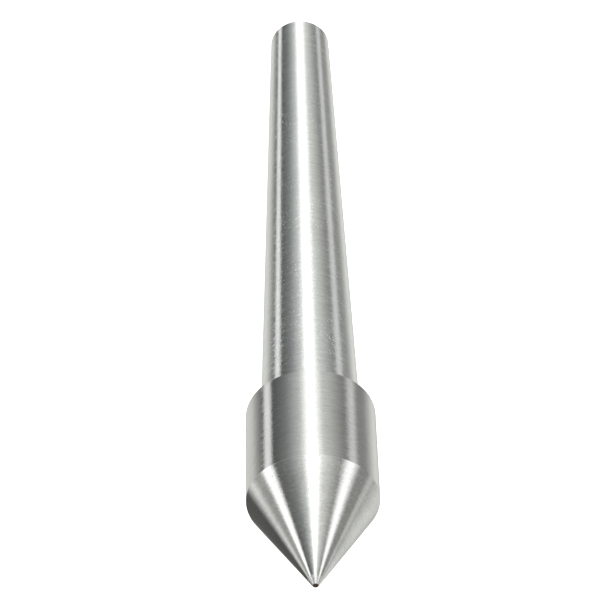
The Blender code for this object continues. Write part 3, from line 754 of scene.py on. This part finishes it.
def makeBearingRing(name, node, body, values, bearing, outwards):
    rear, front = ends(node)
    middle = (rear + front) / 2
    race = raceArc(bearing["pitch"], middle, bearing["groove"], values["raceAngle"], values["raceSteps"],
                   outwards)
    seat = bearing["outside"] if outwards else bearing["bore"]
    shoulder = bearing["outer"] if outwards else bearing["inner"]
    edge, inside = values["edge"], values["inside"]
    if bearing["shieldStep"] and outwards:
        step, depth = bearing["shieldStep"]
        sides = [(seat, rear, edge), (step, rear, inside), (step, rear - depth, crispEdge),
                 (shoulder, rear - depth, crispEdge)]
        others = [(shoulder, front + depth, crispEdge), (step, front + depth, crispEdge),
                  (step, front, inside), (seat, front, edge)]
    else:
        sides = [(seat, rear, edge if outwards else inside), (shoulder, rear, inside)]
        others = [(shoulder, front, inside), (seat, front, edge if outwards else inside)]
    piece = turnPiece(name, roundCorners(sides + race + others, closed=True, steps=4), closed=True)
    fitPiece(piece, body, "bearing_steel", finishes["ring"], node)


def ballMesh(name, radius, cuts=9):
    work = bmesh.new()
    bmesh.ops.create_cube(work, size=2.0)
    bmesh.ops.subdivide_edges(work, edges=work.edges[:], cuts=cuts, use_grid_fill=True)
    for vert in work.verts:
        even = Vector(math.tan(c * math.pi / 4) for c in vert.co)   # even cells all over the ball
        vert.co = even.normalized() * radius * mm
    for face in work.faces:
        face.smooth = True
    mesh = bpy.data.meshes.new(name)
    work.to_mesh(mesh)
    work.free()
    mesh.materials.append(finishes["ball"])
    return mesh


ballTurn = (0.7, 1.1, 0.4)      # radians more for each ball, so that no two show the same marks


def makeBalls(name, prefix, count, body):
    low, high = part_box(prefix + "_ball_1")
    mesh = ballMesh(name + "Ball", (high[1] - low[1]) / 2 / mm)
    for i in range(count):
        node = f"{prefix}_ball_{i + 1}"
        low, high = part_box(node)
        ball = bpy.data.objects.new(f"{name}Ball{i + 1}", mesh)
        scene.collection.objects.link(ball)
        ball.location = (Vector(low) + Vector(high)) / 2
        ball.rotation_euler = [turn * i for turn in ballTurn]
        bpy.context.view_layer.update()
        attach(ball, body)
        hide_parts(node)


# mm, except the drill: it is that many times as long as the cage is thick
bandCageSet = {"lip": 0.05, "lipWidth": 0.16, "waistFrom": 0.20, "drill": 4}


def makeBandCage(bearing, values):
    node = bearing["prefix"] + "_cage"
    rear, front = ends(node)
    outer = radii(node)[1]
    thickness = 2 * (outer - bearing["pitch"])
    inner = outer - thickness
    waist, lip, waistFrom = outer - values["lip"], values["lipWidth"], values["waistFrom"]
    corners = [(inner, rear, fineEdge), (outer, rear, fineEdge), (outer, rear - lip, crispEdge),
               (waist, rear - waistFrom, crispEdge), (waist, front + waistFrom, crispEdge),
               (outer, front + lip, crispEdge), (outer, front, fineEdge), (inner, front, fineEdge)]
    piece = turnPiece(bearing["name"] + "Cage", roundCorners(corners, closed=True, steps=2), closed=True)
    middle = (rear + front) / 2
    places = [Matrix.Rotation(-math.tau * i / bearing["balls"], 4, "Y")
              @ Matrix.Translation((bearing["pitch"] * mm, middle * mm, 0))
              @ Matrix.Rotation(math.pi / 2, 4, "Y") for i in range(bearing["balls"])]
    piece = cutHoles(piece, bearing["pocket"], values["drill"] * thickness, places)
    fitPiece(piece, bearing["cageBody"], "cage_brass", finishes["cage"], node)


shieldSet = {"dish": 0.05, "lip": 0.10, "stepIn": 0.30, "stepOut": 0.34, "stepRun": 0.08, "support": 0.02}


def makeShield(name, node, outwards, values):
    # a pressed ring, its middle stepped a little towards the balls, with a curled inner lip
    rear, front = ends(node)
    inner, outer = radii(node)
    thin = (rear - front) - values["dish"]
    top, under = (rear, rear - thin) if outwards > 0 else (front + thin, front)
    shift = -values["dish"] * outwards
    stepIn, stepOut = inner + values["stepIn"], outer - values["stepOut"]
    across = [(outer, 0), (stepOut + values["stepRun"], 0), (stepOut, shift), (stepIn, shift),
              (stepIn - values["lip"], 0), (inner, 0)]
    corners = [(r, top + dip, fineEdge) for r, dip in across]
    corners += [(r, under + dip, fineEdge) for r, dip in reversed(across)]
    points = roundCorners(corners, closed=True, steps=2, support=values["support"])
    piece = turnPiece(name, points, closed=True)
    fitPiece(piece, "head", "shield_steel", finishes["shield"], node)


makeSpindle(spindleSet)
for key in ("rear", "front"):
    bearing = bearingSet[key]
    innerNode, outerNode = bearing["prefix"] + "_inner_ring", bearing["prefix"] + "_outer_ring"
    makeBearingRing(bearing["name"] + "InnerRing", innerNode, "shank", bearingSet, bearing, False)
    makeBearingRing(bearing["name"] + "OuterRing", outerNode, "head", bearingSet, bearing, True)
    makeBandCage(bearing, bandCageSet)
    makeBalls(bearing["name"], bearing["prefix"], bearing["balls"], bearing["cageBody"])
makeShield("rearShield", "rear_bearing_shield_rear", 1, shieldSet)
makeShield("frontShield", "rear_bearing_shield_front", -1, shieldSet)
print("spindle and ball bearings made")

thrustSet = {
    "groove": 0.854, "pitch": 3.25, "balls": 8, "edge": 0.10, "inside": 0.04, "raceSteps": 10,
    "pocket": 0.874, "spacerEdge": 0.05, "drill": 3,    # the drill as in bandCageSet
}


def makeThrustWasher(name, node, body, grooveFront, values):
    rear, front = ends(node)
    inner, outer = radii(node)
    middle = sum(ends("thrust_cage")) / 2
    plain, face = (rear, front) if grooveFront else (front, rear)
    side = 1 if grooveFront else -1
    half = math.acos(abs(face - middle) / values["groove"])
    corners = [(inner, plain, values["inside"]), (outer, plain, values["edge"]),
               (outer, face, values["inside"])]
    for k in range(values["raceSteps"] + 1):
        angle = half * (1 - 2 * k / values["raceSteps"])
        corners.append((values["pitch"] + values["groove"] * math.sin(angle),
                        middle + side * values["groove"] * math.cos(angle), 0))
    corners.append((inner, face, values["inside"]))
    piece = turnPiece(name, roundCorners(corners, closed=True, steps=4), closed=True)
    fitPiece(piece, body, "bearing_steel", finishes["ring"], node)


def makeThrustCage(values):
    rear, front = ends("thrust_cage")
    inner, outer = radii("thrust_cage")
    corners = [(inner, rear, plainEdge), (outer, rear, plainEdge),
               (outer, front, plainEdge), (inner, front, plainEdge)]
    piece = turnPiece("thrustCage", roundCorners(corners, closed=True, steps=2), closed=True)
    middle = (rear + front) / 2
    places = [Matrix.Rotation(-math.tau * i / values["balls"], 4, "Y")
              @ Matrix.Translation((values["pitch"] * mm, middle * mm, 0))
              @ Matrix.Rotation(math.pi / 2, 4, "X") for i in range(values["balls"])]
    piece = cutHoles(piece, values["pocket"], values["drill"] * (rear - front), places)
    fitPiece(piece, "thrust_cage", "cage_brass", finishes["cage"], "thrust_cage")


def makeSpacer(values):
    rear, front = ends("thrust_spacer")
    inner, outer = radii("thrust_spacer")
    edge = values["spacerEdge"]
    corners = [(inner, rear, edge), (outer, rear, edge), (outer, front, edge), (inner, front, edge)]
    piece = turnPiece("thrustSpacer", roundCorners(corners, closed=True, steps=3), closed=True)
    fitPiece(piece, "shank", "bearing_steel", finishes["ring"], "thrust_spacer")


makeThrustWasher("thrustShaftWasher", "thrust_shaft_washer", "shank", True, thrustSet)
makeThrustWasher("thrustHousingWasher", "thrust_housing_washer", "head", False, thrustSet)
makeThrustCage(thrustSet)
makeBalls("thrust", "thrust", thrustSet["balls"], "thrust_cage")
makeSpacer(thrustSet)
print("thrust bearing made")

# mm, the opening in degrees, bevelAngle in radians: edges that turn more are bevelled. The ends are
# endWidth as wide as the middle, and a lug of 1 points outwards
circlipSet = {
    "opening": 36, "endWidth": 0.75, "lugLength": 0.5, "lugWidth": 1.0, "hole": 0.225, "holePlace": 0.55,
    "edge": 0.035, "steps": 72, "lugSteps": 4, "bevelAngle": 0.9, "drill": 3,
    "head": {"name": "headCirclip", "node": "head_circlip", "seat": 4.75, "width": 0.65, "lug": -1,
             "body": "head"},
    "spindle": {"name": "spindleCirclip", "node": "spindle_circlip", "seat": 1.87, "width": 0.6, "lug": 1,
                "body": "shank"},
}


def makeCirclip(clip, values):
    rear, front = ends(clip["node"])
    seat, width, lug = clip["seat"], clip["width"], clip["lug"]
    start = math.radians(values["opening"]) / 2
    bodyStart = start + values["lugWidth"] / seat
    seatSide, freeSide = [], []
    for k in range(values["steps"] + 1):
        share = k / values["steps"]
        seatSide.append((seat, start + (math.tau - 2 * start) * share))
        angle = bodyStart + (math.tau - 2 * bodyStart) * share
        wide = width * (values["endWidth"] + (1 - values["endWidth"]) * (1 - math.cos(angle)) / 2)
        freeSide.append((seat + lug * wide, angle))
    tip = seat + lug * (width + values["lugLength"])
    lugSteps = values["lugSteps"]
    lugAngles = [start + (bodyStart - start) * k / lugSteps for k in range(lugSteps + 1)]
    firstLug = [(tip, a) for a in lugAngles]
    lastLug = [(tip, math.tau - a) for a in reversed(lugAngles)]
    outline = seatSide + (firstLug + freeSide + lastLug)[::-1]
    work = bmesh.new()
    low = [work.verts.new((r * math.cos(a) * mm, front * mm, r * math.sin(a) * mm)) for r, a in outline]
    face = work.faces.new(low)
    raised = bmesh.ops.extrude_face_region(work, geom=[face])["geom"]
    top = [item for item in raised if isinstance(item, bmesh.types.BMVert)]
    bmesh.ops.translate(work, verts=top, vec=(0, (rear - front) * mm, 0))
    bmesh.ops.recalc_face_normals(work, faces=work.faces)
    edges = [e for e in work.edges if e.calc_face_angle(0) > values["bevelAngle"]]
    bmesh.ops.bevel(work, geom=edges, offset=values["edge"] * mm, segments=2, affect="EDGES", profile=0.5)
    piece = finishMesh(work, clip["name"])
    holePlace = seat + lug * (width + values["lugLength"]) * values["holePlace"]
    lugMiddle = (2 * start + values["lugWidth"] / seat) / 2
    middle = Matrix.Translation((holePlace * mm, (rear + front) / 2 * mm, 0))
    places = [Matrix.Rotation(-angle, 4, "Y") @ middle @ Matrix.Rotation(math.pi / 2, 4, "X")
              for angle in (lugMiddle, -lugMiddle)]
    piece = cutHoles(piece, values["hole"], values["drill"] * (rear - front), places, around=24)
    fitPiece(piece, clip["body"], "black_spring_steel", finishes["clip"], clip["node"])


makeCirclip(circlipSet["head"], circlipSet)
makeCirclip(circlipSet["spindle"], circlipSet)

feltSealSet = {
    "corner": 0.14, "shrink": 0.04, "bands": 6,
    "lump": 0.035, "lumpsPerMm": 1.6, "fineLumpsPerMm": 3.1, "fineShare": 0.5,
}


def makeFeltSeal(values):
    rear, front = ends("felt_dust_seal")
    inner, outer = radii("felt_dust_seal")
    shrink, bands = values["shrink"], values["bands"]
    across = [(inner + shrink + (outer - inner - 2 * shrink) * k / bands,
               values["corner"] if k in (0, bands) else 0) for k in range(bands + 1)]
    corners = [(r, rear - shrink, rounding) for r, rounding in across]
    corners += [(r, front + shrink, rounding) for r, rounding in reversed(across)]
    piece = turnPiece("feltDustSeal", roundCorners(corners, closed=True, steps=4), around=128, closed=True)
    for vert in piece.data.vertices:
        lump = noise.noise(vert.co * values["lumpsPerMm"] / mm)
        lump += values["fineShare"] * noise.noise(vert.co * values["fineLumpsPerMm"] / mm)
        vert.co += vert.normal * max(-1.0, min(1.0, lump)) * values["lump"] * mm
    fitPiece(piece, "head", "grey_felt", finishes["felt"], "felt_dust_seal")


makeFeltSeal(feltSealSet)
print("circlips and seal made")

bpy.context.view_layer.update()
